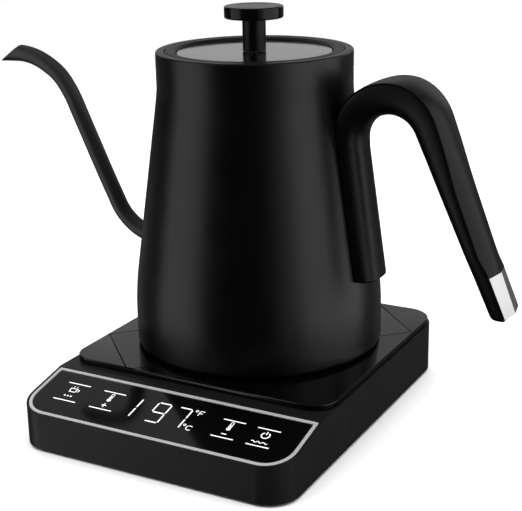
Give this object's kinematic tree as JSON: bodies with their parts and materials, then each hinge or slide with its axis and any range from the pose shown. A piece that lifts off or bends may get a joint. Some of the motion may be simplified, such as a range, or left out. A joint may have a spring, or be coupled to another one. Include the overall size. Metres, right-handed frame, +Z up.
{
  "type": "gooseneck kettle",
  "caption": "Electric pour-over kettle with a tapered body, slim curved spout and open loop handle, on a square temperature-control base.",
  "frame": {"origin": "on the table, under the middle of the whole object's footprint: midway from the spout's lip to the handle's tip, and midway from the base's front edge to the end of its rear cord gland", "axes": "+X towards the handle, -X towards the spout, -Y towards the side with the control panel, +Z up"},
  "size_m": [0.3033, 0.1908, 0.2065],
  "materials": {
    "base_plastic": "fine moulded texture, black",
    "deck_plastic": "satin black",
    "panel_trim": "satin pale grey",
    "panel_glass": "polished black touch panel",
    "circuit_board": "green laminate",
    "contact_brass": "polished",
    "black_rubber": "matt",
    "fastener_steel": "zinc plated",
    "coated_steel": "matt black powder coat on stainless steel",
    "handle_plastic": "satin black",
    "handle_metal": "polished",
    "inner_steel": "brushed stainless steel",
    "pale_silicone": "matt",
    "pale_nylon": "natural",
    "lid_plastic": "satin black",
    "panel_marks": "white printed marks, lit from behind",
    "lid_metal": "polished dark grey"
  },
  "bodies": {
    "base": {"base_housing": "base_plastic", "base_bottom_cover": "base_plastic", "deck_plate": "deck_plastic", "glass_trim": "panel_trim", "control_glass": "panel_glass", "display_board": "circuit_board", "power_board": "circuit_board", "power_relay": "base_plastic", "connector_boss": "base_plastic", "contact_pin": "contact_brass", "contact_ring_inner": "contact_brass", "contact_ring_outer": "contact_brass", "cord_gland": "black_rubber", "foot_1": "black_rubber", "foot_2": "black_rubber", "foot_3": "black_rubber", "foot_4": "black_rubber", "base_screw_1": "fastener_steel", "base_screw_2": "fastener_steel", "base_screw_3": "fastener_steel", "base_screw_4": "fastener_steel"},
    "swivel": {"connector_shutter": "pale_nylon"},
    "kettle": {"kettle_body": "coated_steel", "spout_tube": "coated_steel", "handle_core": "handle_plastic", "handle_cover": "handle_plastic", "handle_end_insert": "handle_metal", "handle_bracket_upper": "fastener_steel", "handle_bracket_lower": "fastener_steel", "handle_screw": "fastener_steel", "heating_plate": "inner_steel", "heating_element": "inner_steel", "temperature_sensor": "inner_steel", "thermal_cutout": "pale_nylon", "base_seal": "pale_silicone", "kettle_socket": "pale_nylon", "kettle_base_cover": "handle_plastic", "cover_screw_1": "fastener_steel", "cover_screw_2": "fastener_steel", "cover_screw_3": "fastener_steel"},
    "lid": {"lid_cap": "lid_plastic", "lid_disc": "lid_metal", "lid_cup": "inner_steel", "lid_gasket": "pale_silicone", "knob_stem": "lid_plastic", "knob_disc": "lid_plastic", "knob_washer": "fastener_steel", "knob_screw": "fastener_steel"}
  },
  "joints": [
    {"name": "kettle_turn", "type": "hinge", "parent": "base", "child": "swivel", "pos_m": [0.011, 0.0216, 0.0317], "axis": [0, 0, 1], "continuous": true},
    {"name": "kettle_lift", "type": "slide", "parent": "swivel", "child": "kettle", "axis": [0, 0, 1], "range_m": [0, 0.06]},
    {"name": "lid_lift", "type": "slide", "parent": "kettle", "child": "lid", "axis": [0, 0, 1], "range_m": [0, 0.05]}
  ]
}
